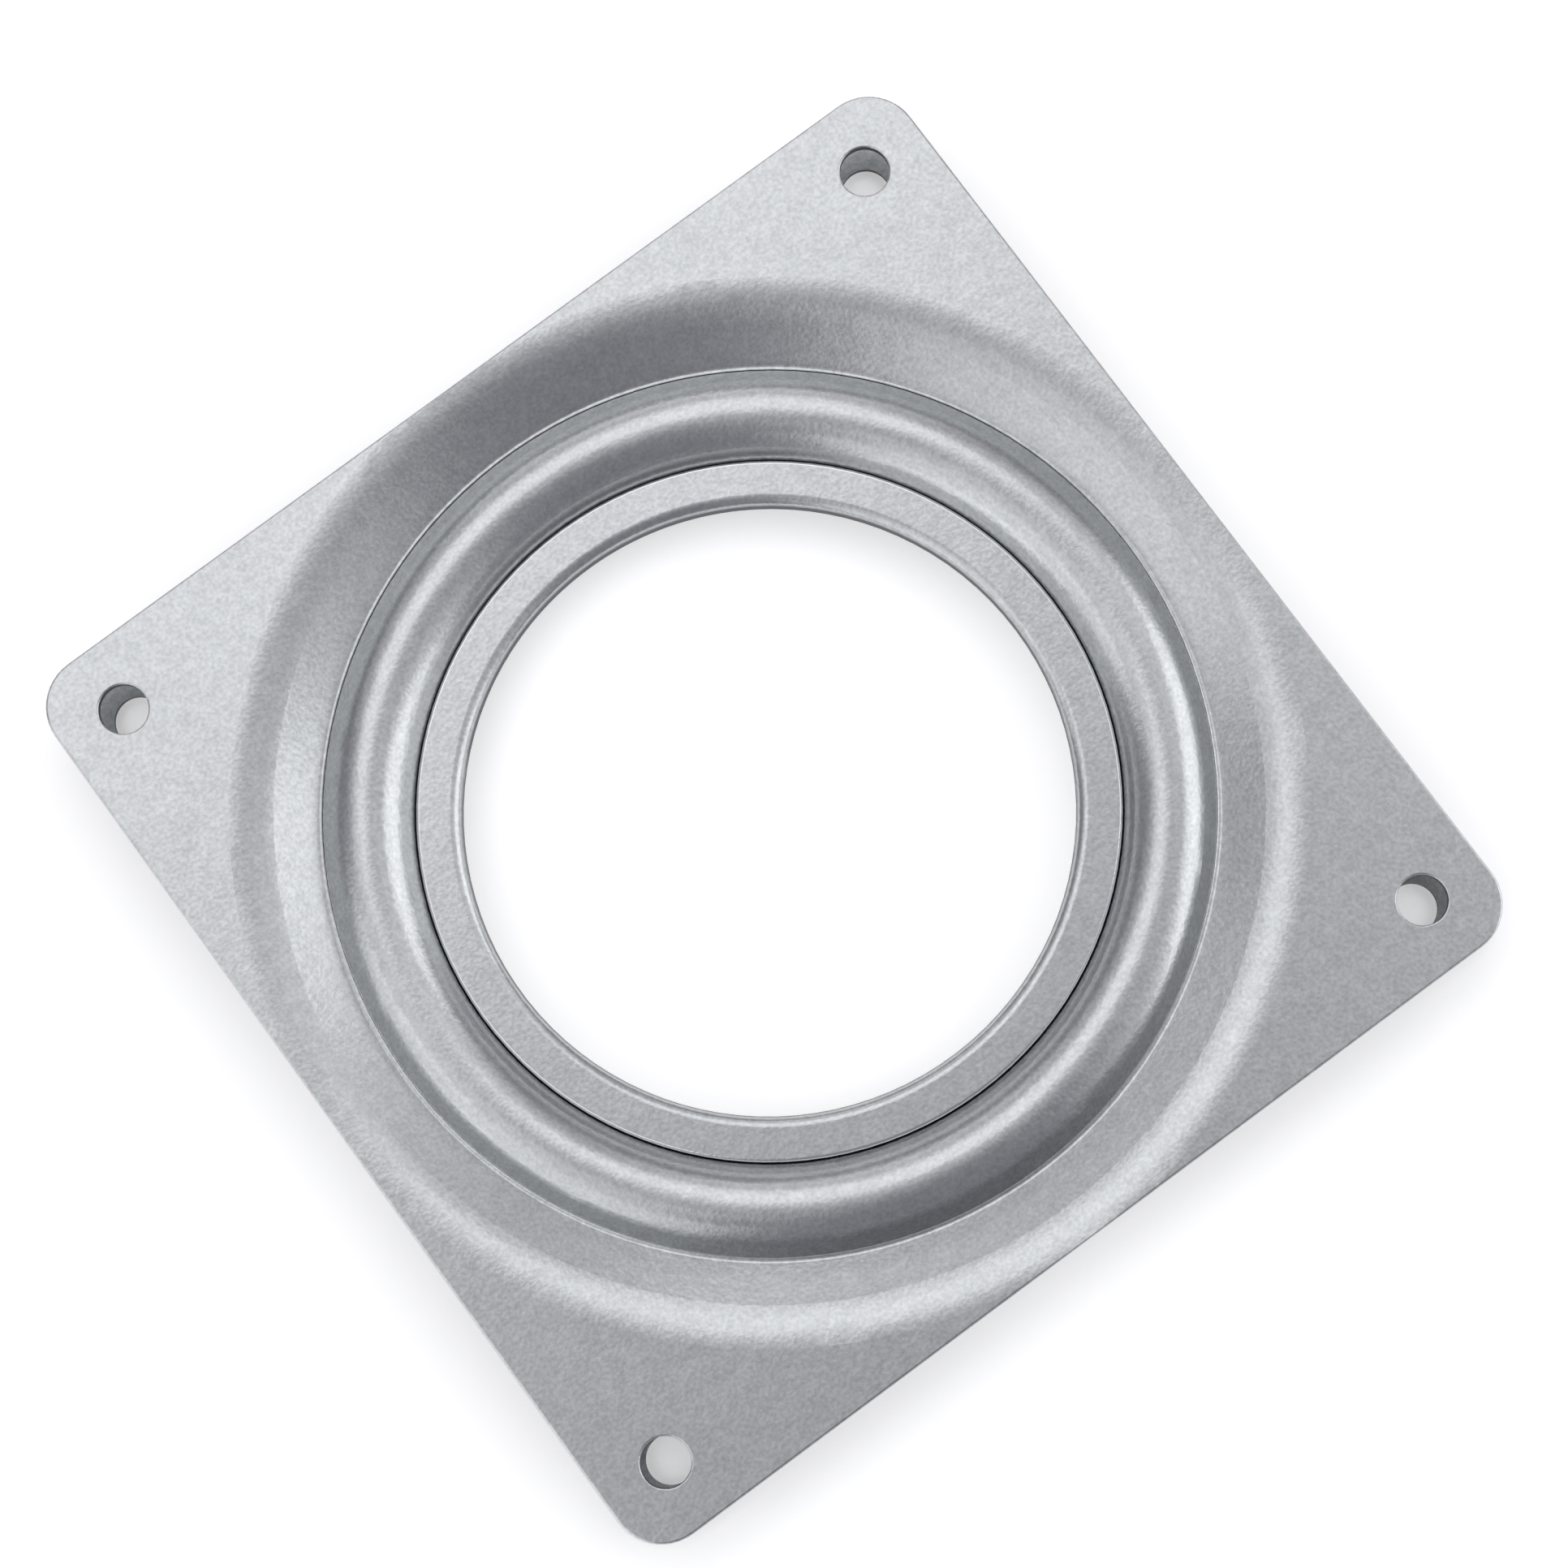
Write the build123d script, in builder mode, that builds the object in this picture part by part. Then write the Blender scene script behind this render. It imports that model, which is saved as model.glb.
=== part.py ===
from build123d import *
import math
import os

# Square turntable bearing: two pressed steel plates that turn on a ring of loose balls.
# Lengths are in millimetres and slopes in degrees. The origin is on the turning axis,
# level with the base plate's outer face, and +Z points out of the top plate.

# Plates
plate_side = 101.6
corner_radius = 5.0
sheet = 0.9
bearing_height = 8.5
edge_rounding = 0.25

# Mounting holes, one in each corner of both plates
hole_inset = 6.8
hole_diameter = 4.8
hole_rounding = 0.2

# Balls, and the track that both plates have pressed into them
ball_circle_radius = 38.25
ball_diameter = 6.35
ball_play = 0.3
ball_clearance = 0.1

# Straight flanks that the track runs into, outwards and inwards
outer_flank_slope = 50.0
inner_flank_slope = 55.0

# Dish, which falls from the flat corners to the valley at the foot of the outer flank
dish_width = 8.2
dish_slope = 28.0
plate_gap = 0.4
valley_bend = 0.9

# Narrow groove that the press coins along that foot
groove_overlap = 0.02
groove_width = 0.14
groove_depth = 0.25

# Centre, where the base plate's collar is flared into a lip that holds the top plate
lip_edge_gap = 0.12
lip_width = 4.38
lip_depth = 2.8
lip_gap = 0.2
lip_top_rounding = 0.35
lip_under_bevel = 0.5
collar_bend = 0.7
collar_clearance = 0.5
flange_bend = 0.8
flange_gap = 0.25

# Levels of the middle of the sheet, worked down from the top plate's outer face
half_sheet = sheet / 2
middle_z = bearing_height / 2
lip_z = bearing_height - lip_depth - half_sheet
top_flange_z = lip_z - lip_gap - sheet
base_flange_z = top_flange_z - flange_gap - sheet

# Radii, worked in and out from the circle that the balls run on
ball_radius = ball_diameter / 2
track_radius = ball_radius + ball_clearance + half_sheet
corner_reach = plate_side / math.sqrt(2) + sheet

# A plate's section is drawn by its radius from the axis and its height out from the plane
# between the plates. The side is 1 for the top plate and -1 for the base plate.
TOP = 1
BASE = -1
same_radius = 1e-4
track_centre = (ball_circle_radius, 0)


def at(side, radius, height):
    """Give the sketch point at this radius and height on one side of the middle plane."""
    return (radius, middle_z + side * height)


def bend(side, centre, radius, start_angle, end_angle):
    """Draw a bend of the sheet about its centre, between two directions in degrees."""
    angles = (start_angle, (start_angle + end_angle) / 2, end_angle)
    points = [at(side, *step_along(centre, radius, angle)) for angle in angles]
    return ThreePointArc(*points)


def step_along(start, length, angle):
    """Give the section point reached from another by this length, in a direction in degrees."""
    across = length * math.cos(math.radians(angle))
    up = length * math.sin(math.radians(angle))
    return (start[0] + across, start[1] + up)


def beside_outer_flank(height, distance):
    """Find the point at this height and distance from the middle of the outer flank."""
    slope = math.radians(outer_flank_slope)
    reach = (track_radius + distance - height * math.cos(slope)) / math.sin(slope)
    return (ball_circle_radius + reach, height)


def beside_inner_flank(height, distance):
    """Find the point at this height and distance from the middle of the inner flank."""
    slope = math.radians(inner_flank_slope)
    reach = (track_radius + distance - height * math.cos(slope)) / math.sin(slope)
    return (ball_circle_radius - reach, height)


# Valley, groove and dish, worked outwards from the outer flank
valley_centre = beside_outer_flank(plate_gap / 2 + half_sheet + valley_bend, valley_bend)
valley_floor = valley_centre[1] - valley_bend + half_sheet
flank_foot = step_along(valley_centre, valley_bend - half_sheet, -90 - outer_flank_slope)
groove_start = flank_foot[0] - groove_overlap
cone_foot = step_along(valley_centre, valley_bend, dish_slope - 90)
dish_radius = valley_centre[0] + dish_width

# Lip, collar and top flange, worked inwards from the inner flank
lip_under_z = lip_z - half_sheet
lip_edge_height = lip_under_z + lip_under_bevel - middle_z
lip_radius = beside_inner_flank(lip_edge_height, half_sheet + lip_edge_gap)[0]
collar_radius = lip_radius - lip_width + half_sheet
top_flange_radius = collar_radius + half_sheet + collar_clearance


def pressed_path(side, flange_z):
    """Draw the middle of the sheet from beyond the corners in to the flange."""
    flat_height = middle_z - half_sheet
    slope = math.radians(dish_slope)
    cone_meets_flat = cone_foot[0] + (flat_height - cone_foot[1]) / math.tan(slope)
    dish_bend = (dish_radius - cone_meets_flat) / math.tan(slope / 2)
    dish_centre = (dish_radius, flat_height - dish_bend)
    flange_height = side * (flange_z - middle_z)
    flange_centre = beside_inner_flank(flange_height + flange_bend, flange_bend)

    Line(at(side, corner_reach, flat_height), at(side, dish_radius, flat_height))
    dish = bend(side, dish_centre, dish_bend, 90, 90 + dish_slope)
    Line(dish @ 1, at(side, *cone_foot))
    valley = bend(side, valley_centre, valley_bend, dish_slope - 90, -90 - outer_flank_slope)
    track = bend(side, track_centre, track_radius, 90 - outer_flank_slope, 90 + inner_flank_slope)
    Line(valley @ 1, track @ 0)
    flange = bend(side, flange_centre, flange_bend, inner_flank_slope - 90, -90)
    Line(track @ 1, flange @ 0)
    return flange @ 1


def groove_outline(side):
    """Draw round what the press coins away, from above the sheet down to the groove's floor."""
    groove_end = groove_start + groove_width
    floor = valley_floor - groove_depth
    above = valley_floor + sheet
    Polyline(
        at(side, groove_start, floor),
        at(side, groove_end, floor),
        at(side, groove_end, above),
        at(side, groove_start, above),
        close=True,
    )


def bevel_outline():
    """Draw round what the lip's edge lacks underneath, where it passes the top plate's flank."""
    across = lip_under_bevel / math.tan(math.radians(inner_flank_slope))
    Polyline(
        (lip_radius - 2 * across, lip_under_z - lip_under_bevel),
        (lip_radius + across, lip_under_z + 2 * lip_under_bevel),
        (lip_radius + across, lip_under_z - lip_under_bevel),
        close=True,
    )


def circles(plate, radius):
    """Pick a plate's circular edges of this radius, from the lowest up."""
    edges = plate.edges().filter_by(GeomType.CIRCLE)
    return edges.filter_by(lambda edge: abs(edge.radius - radius) < same_radius).sort_by(Axis.Z)


# Both plates as one plain block, which trims each pressing to its rounded square
with BuildPart() as block:
    with BuildSketch(Plane.XY):
        RectangleRounded(plate_side, plate_side, corner_radius)
    extrude(amount=bearing_height)
    fillet(block.faces().filter_by(Axis.Z).edges(), edge_rounding)

hole_spacing = plate_side - 2 * hole_inset

# Base plate: its collar rises through the top plate and is flared over its flange
with BuildPart() as base_plate:
    with BuildSketch(Plane.XZ):
        with BuildLine():
            base_flange = pressed_path(BASE, base_flange_z)
            collar_foot = (collar_radius + collar_bend, base_flange_z)
            Line(base_flange, collar_foot)
            lower_bend = JernArc(collar_foot, (-1, 0), collar_bend, -90)
            collar_top = (collar_radius, lip_z - collar_bend)
            Line(lower_bend @ 1, collar_top)
            upper_bend = JernArc(collar_top, (0, 1), collar_bend, -90)
            Line(upper_bend @ 1, (lip_radius, lip_z))
        trace(line_width=sheet)
        with BuildLine():
            groove_outline(BASE)
        make_face(mode=Mode.SUBTRACT)
        with BuildLine():
            bevel_outline()
        make_face(mode=Mode.SUBTRACT)
    revolve(axis=Axis.Z)
    add(block.part, mode=Mode.INTERSECT)
    fillet(circles(base_plate, lip_radius)[-1], lip_top_rounding)
    with GridLocations(hole_spacing, hole_spacing, 2, 2):
        Hole(hole_diameter / 2)
    fillet(circles(base_plate, hole_diameter / 2).group_by(Axis.Z)[0], hole_rounding)

# Top plate: its flange is trapped between the base plate's flange and the flared lip
with BuildPart() as top_plate:
    with BuildSketch(Plane.XZ):
        with BuildLine():
            top_flange = pressed_path(TOP, top_flange_z)
            Line(top_flange, (top_flange_radius, top_flange_z))
        trace(line_width=sheet)
        with BuildLine():
            groove_outline(TOP)
        make_face(mode=Mode.SUBTRACT)
    revolve(axis=Axis.Z)
    add(block.part, mode=Mode.INTERSECT)
    with GridLocations(hole_spacing, hole_spacing, 2, 2):
        Hole(hole_diameter / 2)
    fillet(circles(top_plate, hole_diameter / 2).group_by(Axis.Z)[-1], hole_rounding)

base_plate.part.label = "base_plate"
top_plate.part.label = "top_plate"
os.makedirs("parts", exist_ok=True)
export_step(base_plate.part, "parts/base_plate.step")
export_step(top_plate.part, "parts/top_plate.step")

# Balls: an almost full ring, with only a little play between neighbours and no cage
ball_count = int(2 * math.pi * ball_circle_radius / (ball_diameter + ball_play))
for number in range(1, ball_count + 1):
    turn = math.radians((number - 1) * 360 / ball_count)
    x = ball_circle_radius * math.cos(turn)
    y = ball_circle_radius * math.sin(turn)
    with BuildPart(Plane.XY.move(Location((x, y, middle_z)))) as ball:
        Sphere(ball_radius)
    ball.part.label = f"ball_{number:02d}"
    export_step(ball.part, f"parts/{ball.part.label}.step")
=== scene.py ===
import math

import bpy
from mathutils import Euler, Matrix, Vector


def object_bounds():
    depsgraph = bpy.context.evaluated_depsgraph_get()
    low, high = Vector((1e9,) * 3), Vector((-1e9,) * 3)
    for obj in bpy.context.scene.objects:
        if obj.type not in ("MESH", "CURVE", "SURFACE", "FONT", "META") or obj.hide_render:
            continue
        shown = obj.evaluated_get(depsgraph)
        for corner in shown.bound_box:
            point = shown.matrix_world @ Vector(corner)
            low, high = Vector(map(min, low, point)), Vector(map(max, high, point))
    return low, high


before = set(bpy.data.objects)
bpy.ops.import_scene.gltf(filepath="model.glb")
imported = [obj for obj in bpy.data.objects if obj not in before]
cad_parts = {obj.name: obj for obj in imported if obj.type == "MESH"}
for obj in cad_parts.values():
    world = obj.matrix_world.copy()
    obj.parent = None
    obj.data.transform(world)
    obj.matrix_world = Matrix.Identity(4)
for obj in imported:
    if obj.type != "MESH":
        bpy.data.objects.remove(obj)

bl_info = {
    "name": "Turntable Bearing",
    "version": (1, 0, 0),
    "blender": (4, 5, 0),
    "location": "View3D > Sidebar > Bearing",
    "description": "Finishes, lights and frames a square turntable bearing of pressed sheet steel",
    "category": "Object",
}

CAD_LOW, CAD_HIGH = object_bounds()
PLATES = ("base_plate", "top_plate")
BALLS = sorted(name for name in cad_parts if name.startswith("ball_"))
MILLIMETRE = 0.001

# The zinc coat's two patterns: how far each one lightens and darkens the colour, and how deep and
# how strong its bumps are. Blender's noise keeps mostly between the low and the high value.
GRAIN_CONTRAST = 0.11
GRAIN_DEPTH = 0.05 * MILLIMETRE
GRAIN_STRENGTH = 0.3
MOTTLE_CONTRAST = 0.05
MOTTLE_DEPTH = 0.02 * MILLIMETRE
MOTTLE_STRENGTH = 1.0
NOISE_LOW = 0.3
NOISE_HIGH = 0.7

# The rim of the lip, a rounding with a painted highlight: the middle and half the width of its
# band, and where it starts.
RIM_RADIUS = 33.6 * MILLIMETRE
RIM_HALF_WIDTH = 0.18 * MILLIMETRE
RIM_FOOT = 5.3 * MILLIMETRE
RIM_ROUGHNESS = 0.15

# The bore's flare: the radius and the height of the ring that it bends about, its bend radius, and
# how far from that radius a point still counts as on it.
FLARE_RING = 30.512 * MILLIMETRE
FLARE_HEIGHT = 4.55 * MILLIMETRE
FLARE_BEND = 1.15 * MILLIMETRE
FLARE_SLACK = 0.1 * MILLIMETRE

# Upright faces, the sheared edges and the walls of the holes, are darker: partly bare steel, partly
# painted shade. They are told by how much the normal points up or down: they are whole up to the
# first value and gone from the second one on.
EDGE_WHOLE = 0.15
EDGE_GONE = 0.55
EDGE_ROUGHNESS = 0.5

# The floor lies just under the bearing. Its glow is low near the bearing, so that the shadow shows,
# and rises to white further off, where less of the softboxes' light falls on it.
FLOOR_GAP = 0.05 * MILLIMETRE
GLOW_NEAR = 0.35
GLOW_RISES_FROM = 0.1
GLOW_FULL_AT = 0.7

# Softboxes, placed by where each one lies from the bearing: the tilt from the line to the camera,
# the turn from the picture's right towards its top, the spin about the softbox's own middle, the
# half width and half height as shares of the distance, and the brightness, where 1 shows as pure
# white in a mirror.
SOFTBOXES = (
    ("softbox_top", 42, 110, 25, 0.85, 0.80, 0.34),
    ("softbox_top_core", 36, 112, 15, 0.33, 0.50, 0.92),
    ("softbox_right", 55, 16, 40, 0.72, 0.75, 0.40),
    ("softbox_right_low", 86, 0, 55, 0.45, 1.15, 1.15),
    ("softbox_left_high", 34, -160, 40, 0.25, 0.45, 0.73),
    ("softbox_left", 66, -140, 15, 0.45, 0.65, 0.92),
    ("softbox_left_low", 92, -130, 0, 0.30, 0.35, 0.90),
    ("strip_top", 75, 100, 0, 0.10, 0.65, 0.58),
)
SOFTBOX_DISTANCE = 0.7


def linear(hex_colour):
    """Turn an sRGB hex colour into linear light."""
    values = [int(hex_colour[i:i + 2], 16) / 255 for i in (1, 3, 5)]
    return tuple(v / 12.92 if v <= 0.04045 else ((v + 0.055) / 1.055) ** 2.4 for v in values)


def add_node(tree, kind, settings=None, inputs=None):
    """Add a node, set its own settings, and set or link each of its inputs."""
    node = tree.nodes.new(kind)
    for name, value in (settings or {}).items():
        setattr(node, name, value)
    for name, value in (inputs or {}).items():
        if isinstance(value, bpy.types.NodeSocket):
            tree.links.new(value, node.inputs[name])
        else:
            node.inputs[name].default_value = value
    return node


def new_material(name):
    """Start a material with nothing in it but its output, and give it and the output."""
    material = bpy.data.materials.new(name)
    material.use_nodes = True
    material.node_tree.nodes.clear()
    return material, material.node_tree.nodes.new("ShaderNodeOutputMaterial")


class SteelSettings(bpy.types.PropertyGroup):
    """The finish of the plates and the balls."""

    sheet_colour: bpy.props.FloatVectorProperty(
        name="Sheet Colour",
        description="Colour of the zinc coat on the plates",
        default=linear("#B8BABB"),
        subtype="COLOR",
        min=0,
        max=1,
    )
    sheet_roughness: bpy.props.FloatProperty(
        name="Sheet Roughness",
        description="How far the zinc coat spreads a reflection",
        default=0.28,
        subtype="FACTOR",
        min=0,
        max=1,
    )
    # Painted shade: the upright faces are darkened past the bare steel's own tone, for the shade
    # along the edges and in the bore.
    bare_edge_and_shade_colour: bpy.props.FloatVectorProperty(
        name="Edge Steel and Shade Colour",
        description="Colour of the sheared edges, where the bare steel shows",
        default=linear("#505256"),
        subtype="COLOR",
        min=0,
        max=1,
    )
    # Painted highlight: a lighter colour on the lip's rim, for the thin bright line where the light
    # catches it.
    rim_highlight_colour: bpy.props.FloatVectorProperty(
        name="Rim Highlight Colour",
        description="Colour of the lip's rim, where the coat is rubbed bright",
        default=linear("#D6D7D9"),
        subtype="COLOR",
        min=0,
        max=1,
    )
    ball_colour: bpy.props.FloatVectorProperty(
        name="Ball Colour",
        description="Colour of the hardened steel balls",
        default=linear("#D2D2D4"),
        subtype="COLOR",
        min=0,
        max=1,
    )
    ball_roughness: bpy.props.FloatProperty(
        name="Ball Roughness",
        description="How far the balls' polish spreads a reflection",
        default=0.12,
        subtype="FACTOR",
        min=0,
        max=1,
    )
    grain_size: bpy.props.FloatProperty(
        name="Grain Size",
        description="Size of the fine crystals in the zinc coat",
        default=0.4 * MILLIMETRE,
        subtype="DISTANCE",
        unit="LENGTH",
        min=0.00001,
    )
    mottle_size: bpy.props.FloatProperty(
        name="Mottle Size",
        description="Size of the soft uneven patches in the zinc coat",
        default=1.6 * MILLIMETRE,
        subtype="DISTANCE",
        unit="LENGTH",
        min=0.00001,
    )


class StageSettings(bpy.types.PropertyGroup):
    """The camera, the floor and the light."""

    camera_place: bpy.props.FloatVectorProperty(
        name="Camera Place",
        description="Where the camera stands, from the bearing's origin",
        default=(-0.016714, -0.048079, 0.386826),
        subtype="TRANSLATION",
    )
    camera_turn: bpy.props.FloatVectorProperty(
        name="Camera Turn",
        description="How the camera is turned",
        default=[math.radians(angle) for angle in (7.598, 2.031, -36.325)],
        subtype="EULER",
    )
    lens: bpy.props.FloatProperty(
        name="Lens",
        description="Focal length on a sensor 36 mm wide, in millimetres",
        default=92.61,
        unit="CAMERA",
    )
    room_colour: bpy.props.FloatVectorProperty(
        name="Room Colour",
        description="Colour of the dim room round the softboxes",
        default=linear("#97979D"),
        subtype="COLOR",
        min=0,
        max=1,
    )
    paper_colour: bpy.props.FloatVectorProperty(
        name="Paper Colour",
        description="Colour of the paper on the floor",
        default=linear("#F2F2F2"),
        subtype="COLOR",
        min=0,
        max=1,
    )
    floor_size: bpy.props.FloatProperty(
        name="Floor Size",
        description="Side of the floor",
        default=8.0,
        subtype="DISTANCE",
        unit="LENGTH",
    )


def coat_colour(tree, settings, grain, mottle):
    """The zinc's colour, a little lighter or darker from crystal to crystal and patch to patch."""
    shares = [
        add_node(
            tree,
            "ShaderNodeMapRange",
            inputs={
                "Value": noise,
                "From Min": NOISE_LOW,
                "From Max": NOISE_HIGH,
                "To Min": 1 - contrast,
                "To Max": 1 + contrast,
            },
        ).outputs["Result"]
        for noise, contrast in ((grain, GRAIN_CONTRAST), (mottle, MOTTLE_CONTRAST))
    ]
    share = add_node(
        tree,
        "ShaderNodeMath",
        settings={"operation": "MULTIPLY"},
        inputs=dict(enumerate(shares)),
    )
    return add_node(
        tree,
        "ShaderNodeVectorMath",
        settings={"operation": "SCALE"},
        inputs={0: tuple(settings.sheet_colour), "Scale": share.outputs[0]},
    ).outputs["Vector"]


def edge_share(tree, normal):
    """1 where the surface stands upright, as an edge or a hole's wall, and 0 on every slope."""
    parts = add_node(tree, "ShaderNodeSeparateXYZ", inputs={"Vector": normal})
    lie = add_node(
        tree,
        "ShaderNodeMath",
        settings={"operation": "ABSOLUTE"},
        inputs={0: parts.outputs["Z"]},
    )
    return add_node(
        tree,
        "ShaderNodeMapRange",
        inputs={
            "Value": lie.outputs[0],
            "From Min": EDGE_WHOLE,
            "From Max": EDGE_GONE,
            "To Min": 1.0,
            "To Max": 0.0,
        },
    ).outputs["Result"]


def where_all(tree, tests):
    """1 where every test holds and 0 elsewhere. A test is an operation with its inputs."""
    share = 1.0
    for operation, value, limit, slack in tests:
        held = add_node(
            tree,
            "ShaderNodeMath",
            settings={"operation": operation},
            inputs={0: value, 1: limit, 2: slack},
        )
        share = add_node(
            tree,
            "ShaderNodeMath",
            settings={"operation": "MULTIPLY"},
            inputs={0: held.outputs[0], 1: share},
        ).outputs[0]
    return share


def flare_normal(tree, place, spread, radius, height):
    """The surface's normal, worked out anew on the bore's flare.

    The mesh's own normals are uneven there. The flare is a bend about a ring, so its true normal
    points from the nearest point of that ring to the surface.
    """
    outward = add_node(
        tree,
        "ShaderNodeVectorMath",
        settings={"operation": "NORMALIZE"},
        inputs={0: spread},
    )
    ring = add_node(
        tree,
        "ShaderNodeVectorMath",
        settings={"operation": "MULTIPLY_ADD"},
        inputs={
            0: outward.outputs["Vector"],
            1: (FLARE_RING, FLARE_RING, FLARE_RING),
            2: (0.0, 0.0, FLARE_HEIGHT),
        },
    )
    arm = add_node(
        tree,
        "ShaderNodeVectorMath",
        settings={"operation": "SUBTRACT"},
        inputs={0: place, 1: ring.outputs["Vector"]},
    ).outputs["Vector"]
    reach = add_node(
        tree,
        "ShaderNodeVectorMath",
        settings={"operation": "LENGTH"},
        inputs={0: arm},
    )
    true_normal = add_node(
        tree,
        "ShaderNodeVectorMath",
        settings={"operation": "NORMALIZE"},
        inputs={0: arm},
    )
    on_flare = where_all(
        tree,
        (
            ("COMPARE", reach.outputs["Value"], FLARE_BEND, FLARE_SLACK),
            ("LESS_THAN", radius, FLARE_RING, 0.0),
            ("GREATER_THAN", height, FLARE_HEIGHT, 0.0),
        ),
    )
    # The Mix node's vectors are its inputs 4 and 5, and its output 1.
    return add_node(
        tree,
        "ShaderNodeMix",
        settings={"data_type": "VECTOR"},
        inputs={
            0: on_flare,
            4: add_node(tree, "ShaderNodeNewGeometry").outputs["Normal"],
            5: true_normal.outputs["Vector"],
        },
    ).outputs[1]


def zinc_plated_sheet(settings):
    """Cold rolled sheet with a thin zinc coat: cool light grey, satin, with a fine mottled grain.

    The sheared edges and the walls of the holes are darker and rougher, partly bare steel and
    partly painted shade. The rim of the lip gets a painted highlight: a lighter, smoother thin
    band.
    """
    material, output = new_material("zinc_plated_sheet")
    tree = material.node_tree
    facing = add_node(tree, "ShaderNodeTexCoord")
    place = facing.outputs["Object"]
    # The grain sparkles, and the mottle makes the reflections uneven. The coat's own crystals are
    # too fine to show, so the grain is drawn as coarse as it needs to be seen.
    grain, mottle = (
        add_node(
            tree,
            "ShaderNodeTexNoise",
            inputs={"Vector": place, "Scale": 1 / size, "Detail": 2.0, "Roughness": 0.6},
        ).outputs["Fac"]
        for size in (settings.grain_size, settings.mottle_size)
    )
    # Where a point lies: how far out from the bearing's axis, and how high.
    spread = add_node(
        tree,
        "ShaderNodeVectorMath",
        settings={"operation": "MULTIPLY"},
        inputs={0: place, 1: (1.0, 1.0, 0.0)},
    ).outputs["Vector"]
    radius = add_node(
        tree,
        "ShaderNodeVectorMath",
        settings={"operation": "LENGTH"},
        inputs={0: spread},
    ).outputs["Value"]
    height = add_node(tree, "ShaderNodeSeparateXYZ", inputs={"Vector": place}).outputs["Z"]

    # The masks of the painted shade on upright faces and of the painted highlight on the lip's rim.
    edge = edge_share(tree, facing.outputs["Normal"])
    rim = where_all(
        tree,
        (
            ("COMPARE", radius, RIM_RADIUS, RIM_HALF_WIDTH),
            ("GREATER_THAN", height, RIM_FOOT, 0.0),
        ),
    )
    colour = coat_colour(tree, settings, grain, mottle)
    roughness = settings.sheet_roughness
    # Upright faces darker, partly bare steel, partly painted shade; the rim lighter, a painted
    # highlight.
    for share, bare_and_painted_light_colour, band_roughness in (
        (edge, settings.bare_edge_and_shade_colour, EDGE_ROUGHNESS),
        (rim, settings.rim_highlight_colour, RIM_ROUGHNESS),
    ):
        # The Mix node's colours are its inputs 6 and 7, and its output 2.
        colour = add_node(
            tree,
            "ShaderNodeMix",
            settings={"data_type": "RGBA"},
            inputs={0: share, 6: colour, 7: (*bare_and_painted_light_colour, 1.0)},
        ).outputs[2]
        roughness = add_node(
            tree,
            "ShaderNodeMapRange",
            inputs={"Value": share, "To Min": roughness, "To Max": band_roughness},
        ).outputs["Result"]

    normal = flare_normal(tree, place, spread, radius, height)
    for noise, strength, depth in (
        (mottle, MOTTLE_STRENGTH, MOTTLE_DEPTH),
        (grain, GRAIN_STRENGTH, GRAIN_DEPTH),
    ):
        normal = add_node(
            tree,
            "ShaderNodeBump",
            inputs={"Strength": strength, "Distance": depth, "Height": noise, "Normal": normal},
        ).outputs["Normal"]

    shader = add_node(
        tree,
        "ShaderNodeBsdfPrincipled",
        inputs={
            "Base Color": colour,
            "Metallic": 1.0,
            "Roughness": roughness,
            "Normal": normal,
        },
    )
    tree.links.new(shader.outputs["BSDF"], output.inputs["Surface"])
    return material


def polished_ball_steel(settings):
    """Hardened and lapped chrome steel: neutral, with a mirror shine."""
    material, output = new_material("polished_ball_steel")
    shader = add_node(
        material.node_tree,
        "ShaderNodeBsdfPrincipled",
        inputs={
            "Base Color": (*settings.ball_colour, 1.0),
            "Metallic": 1.0,
            "Roughness": settings.ball_roughness,
        },
    )
    material.node_tree.links.new(shader.outputs["BSDF"], output.inputs["Surface"])
    return material


def matt_paper(settings):
    """Seamless background paper: matt, and pure white in the picture outside the shadow."""
    material, output = new_material("matt_background_paper")
    tree = material.node_tree
    matt = add_node(tree, "ShaderNodeBsdfDiffuse", inputs={"Color": (*settings.paper_colour, 1.0)})
    # The camera, the steel's reflections and clear things see the glow, and it lights nothing.
    path = add_node(tree, "ShaderNodeLightPath")
    seen = path.outputs["Is Camera Ray"]
    for ray in ("Is Glossy Ray", "Is Transmission Ray"):
        seen = add_node(
            tree,
            "ShaderNodeMath",
            settings={"operation": "ADD"},
            inputs={0: seen, 1: path.outputs[ray]},
        ).outputs[0]
    distance = add_node(
        tree,
        "ShaderNodeVectorMath",
        settings={"operation": "LENGTH"},
        inputs={0: add_node(tree, "ShaderNodeTexCoord").outputs["Object"]},
    )
    whiteness = add_node(
        tree,
        "ShaderNodeMapRange",
        inputs={
            "Value": distance.outputs["Value"],
            "From Min": GLOW_RISES_FROM,
            "From Max": GLOW_FULL_AT,
            "To Min": GLOW_NEAR,
            "To Max": 1.0,
        },
    )
    strength = add_node(
        tree,
        "ShaderNodeMath",
        settings={"operation": "MULTIPLY"},
        inputs={0: seen, 1: whiteness.outputs["Result"]},
    )
    glow = add_node(tree, "ShaderNodeEmission", inputs={"Strength": strength.outputs[0]})
    paper = add_node(tree, "ShaderNodeAddShader", inputs={0: matt.outputs[0], 1: glow.outputs[0]})
    tree.links.new(paper.outputs[0], output.inputs["Surface"])
    return material


class BEARING_OT_plates(bpy.types.Operator):
    """Give both pressed plates their zinc coat"""

    bl_idname = "bearing.plates"
    bl_label = "Finish the Plates"

    def execute(self, context):
        material = zinc_plated_sheet(context.scene.bearing_steel)
        for name in PLATES:
            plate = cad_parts[name]
            plate.material_slots[0].material = material
        return {"FINISHED"}


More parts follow.
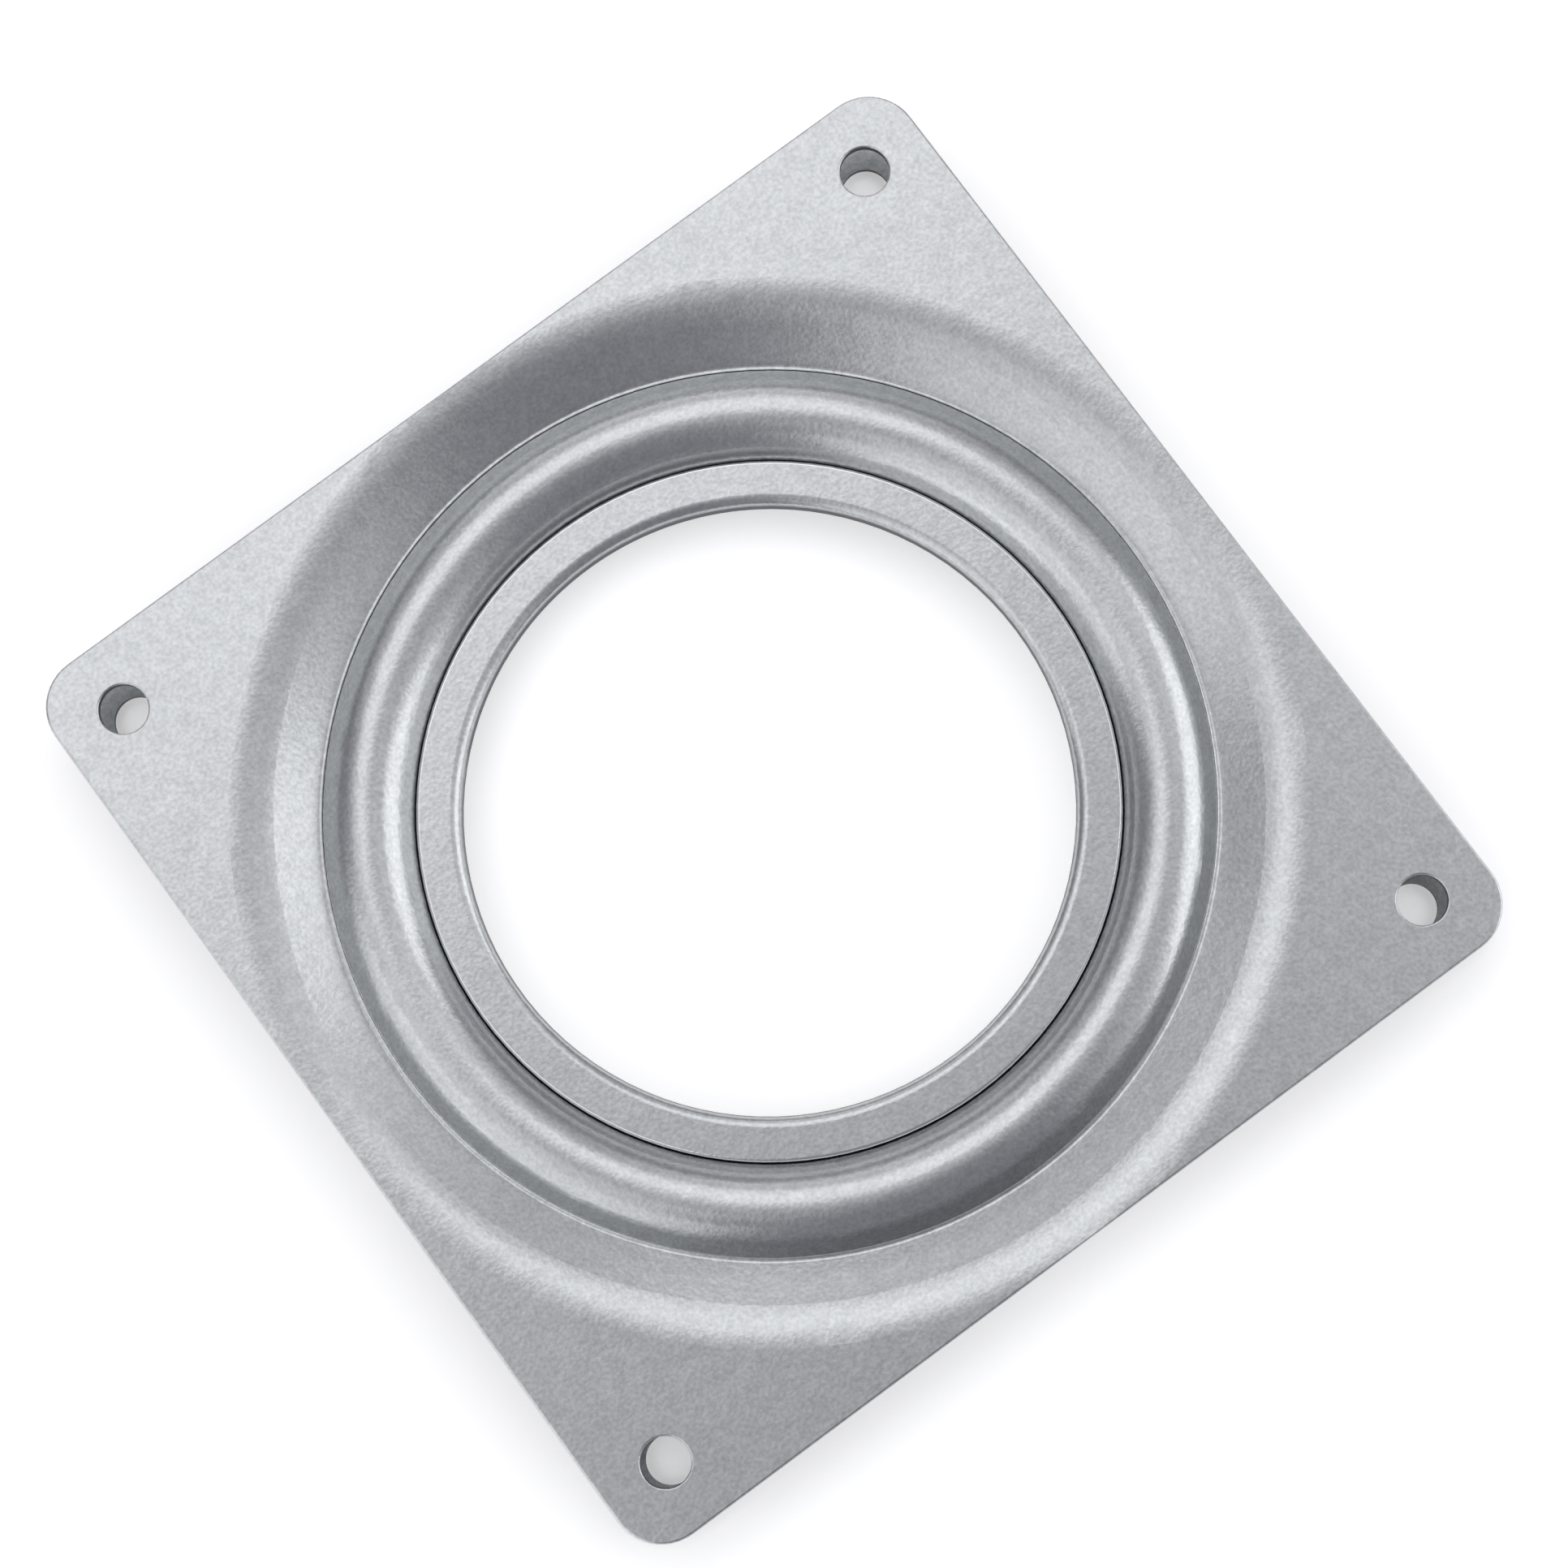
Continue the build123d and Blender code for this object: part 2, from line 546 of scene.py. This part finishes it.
class BEARING_OT_balls(bpy.types.Operator):
    """Give the ring of balls its polish"""

    bl_idname = "bearing.balls"
    bl_label = "Finish the Balls"

    def execute(self, context):
        material = polished_ball_steel(context.scene.bearing_steel)
        for name in BALLS:
            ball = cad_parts[name]
            ball.material_slots[0].material = material
        return {"FINISHED"}


def stand_camera(scene, settings):
    """Stand the camera where the photograph was taken from."""
    data = bpy.data.cameras.new("camera")
    camera = bpy.data.objects.new("camera", data)
    scene.collection.objects.link(camera)
    camera.location = settings.camera_place
    camera.rotation_euler = settings.camera_turn
    data.lens = settings.lens
    data.clip_start = 0.01
    data.clip_end = 20
    scene.camera = camera


def lay_floor(scene, settings):
    """Lay the paper floor just under the bearing."""
    half = settings.floor_size / 2
    corners = [(-half, -half, 0), (half, -half, 0), (half, half, 0), (-half, half, 0)]
    mesh = bpy.data.meshes.new("floor")
    mesh.from_pydata(corners, [], [(0, 1, 2, 3)])
    mesh.materials.append(matt_paper(settings))
    floor = bpy.data.objects.new("floor", mesh)
    floor.location.z = CAD_LOW.z - FLOOR_GAP
    scene.collection.objects.link(floor)


def hang_softboxes(scene, settings):
    """Hang the softboxes round the bearing, each one facing it."""
    sight = Euler(settings.camera_turn).to_matrix()
    middle = (CAD_LOW + CAD_HIGH) / 2
    for name, tilt, turn, spin, half_width, half_height, brightness in SOFTBOXES:
        facing = sight.copy()
        for angle, axis in ((turn, "Z"), (tilt, "Y"), (spin, "Z")):
            facing = facing @ Matrix.Rotation(math.radians(angle), 3, axis)
        data = bpy.data.lights.new(name, "AREA")
        data.shape = "RECTANGLE"
        data.size = 2 * half_width * SOFTBOX_DISTANCE
        data.size_y = 2 * half_height * SOFTBOX_DISTANCE
        data.energy = brightness * math.pi * data.size * data.size_y
        light = bpy.data.objects.new(name, data)
        place = middle + facing @ Vector((0, 0, SOFTBOX_DISTANCE))
        light.matrix_world = Matrix.Translation(place) @ facing.to_4x4()
        scene.collection.objects.link(light)


def light_room(scene, settings):
    """Light the room evenly and dimly round the softboxes."""
    room = bpy.data.worlds.new("room")
    room.use_nodes = True
    room.node_tree.nodes["Background"].inputs["Color"].default_value = (*settings.room_colour, 1.0)
    scene.world = room


class BEARING_OT_stage(bpy.types.Operator):
    """Put up the camera, the floor and the light"""

    bl_idname = "bearing.stage"
    bl_label = "Set the Stage"

    def execute(self, context):
        scene = context.scene
        settings = scene.bearing_stage
        stand_camera(scene, settings)
        lay_floor(scene, settings)
        hang_softboxes(scene, settings)
        light_room(scene, settings)
        scene.view_settings.view_transform = "Standard"
        return {"FINISHED"}


class BEARING_PT_panel(bpy.types.Panel):
    """The steps that finish the bearing, and their settings"""

    bl_label = "Turntable Bearing"
    bl_idname = "BEARING_PT_panel"
    bl_space_type = "VIEW_3D"
    bl_region_type = "UI"
    bl_category = "Bearing"

    def draw(self, context):
        for settings in (context.scene.bearing_steel, context.scene.bearing_stage):
            box = self.layout.box()
            for name in settings.__annotations__:
                box.prop(settings, name)
        for operator in OPERATORS:
            self.layout.operator(operator.bl_idname)


OPERATORS = (BEARING_OT_plates, BEARING_OT_balls, BEARING_OT_stage)
CLASSES = (SteelSettings, StageSettings, *OPERATORS, BEARING_PT_panel)


def register():
    for each in CLASSES:
        bpy.utils.register_class(each)
    bpy.types.Scene.bearing_steel = bpy.props.PointerProperty(type=SteelSettings)
    bpy.types.Scene.bearing_stage = bpy.props.PointerProperty(type=StageSettings)


def unregister():
    del bpy.types.Scene.bearing_stage
    del bpy.types.Scene.bearing_steel
    for each in reversed(CLASSES):
        bpy.utils.unregister_class(each)


def main():
    """Run every step in order."""
    register()
    bpy.ops.bearing.plates()
    bpy.ops.bearing.balls()
    bpy.ops.bearing.stage()


if __name__ == "__main__":
    main()
